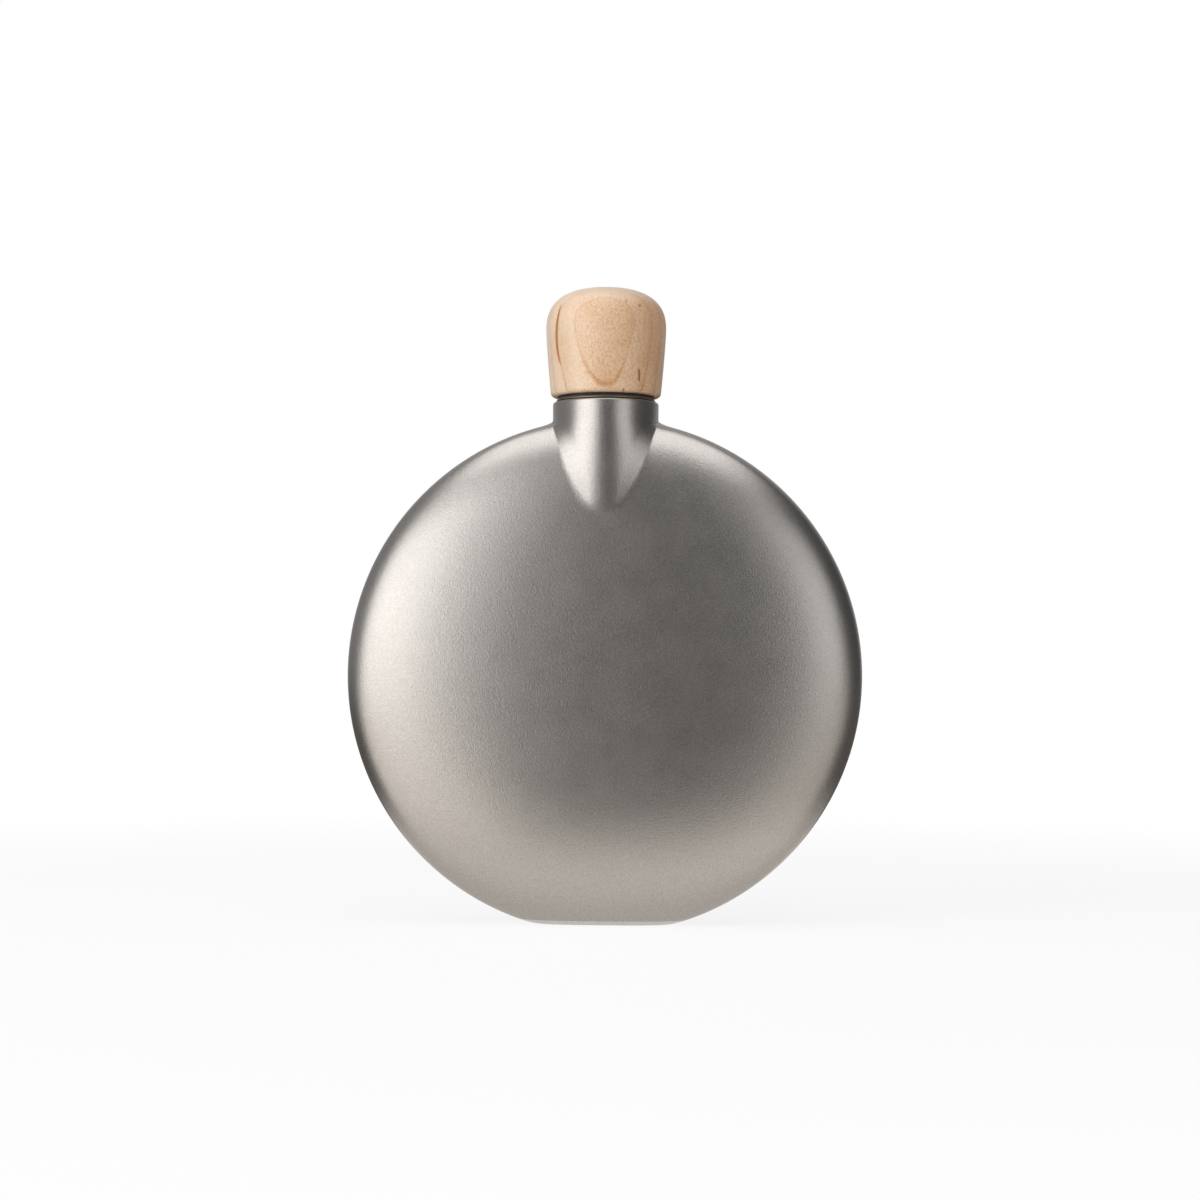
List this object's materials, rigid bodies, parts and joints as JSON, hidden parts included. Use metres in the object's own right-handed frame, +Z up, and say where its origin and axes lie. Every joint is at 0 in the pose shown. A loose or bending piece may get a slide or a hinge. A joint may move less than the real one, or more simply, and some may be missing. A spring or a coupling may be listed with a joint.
{
  "type": "round flask",
  "caption": "Flat round pocket flask of satin titanium with a straight round neck, a flat foot and a screw-in stopper with a turned wooden knob.",
  "frame": {"origin": "middle of the flat foot, on the surface the flask stands on", "axes": "+Z up along the neck and the stopper's thread, +X along the disc's width, -Y out of the front face"},
  "size_m": [0.115, 0.0268, 0.142],
  "materials": {
    "body_titanium": "fine bead-blasted titanium, satin, warm grey",
    "weld_titanium": "dressed titanium weld, satin",
    "turned_titanium": "fine-turned titanium",
    "gasket_silicone": "matt food-grade silicone",
    "insert_brass": "turned brass",
    "knob_wood": "oiled pale maple, satin"
  },
  "bodies": {
    "flask": {"front_shell": "body_titanium", "rear_shell": "body_titanium", "seam_weld": "weld_titanium", "mouth_ring": "turned_titanium", "mouth_weld": "weld_titanium"},
    "seal": {"lip_gasket": "gasket_silicone"},
    "cap": {"cap_plug": "turned_titanium", "knob_insert": "insert_brass", "wood_knob": "knob_wood"}
  },
  "joints": [
    {"name": "cap_rise", "type": "slide", "parent": "flask", "child": "seal", "axis": [0, 0, 1], "range_m": [0, 0.01063]},
    {"name": "cap_turn", "type": "hinge", "parent": "seal", "child": "cap", "pos_m": [0, 0, 0.1174], "axis": [0, 0, 1], "range_deg": [0, 1530]}
  ],
  "couplings": [
    {"joint": "cap_rise", "follows": "cap_turn", "m_per_rad": 0.00039788}
  ]
}
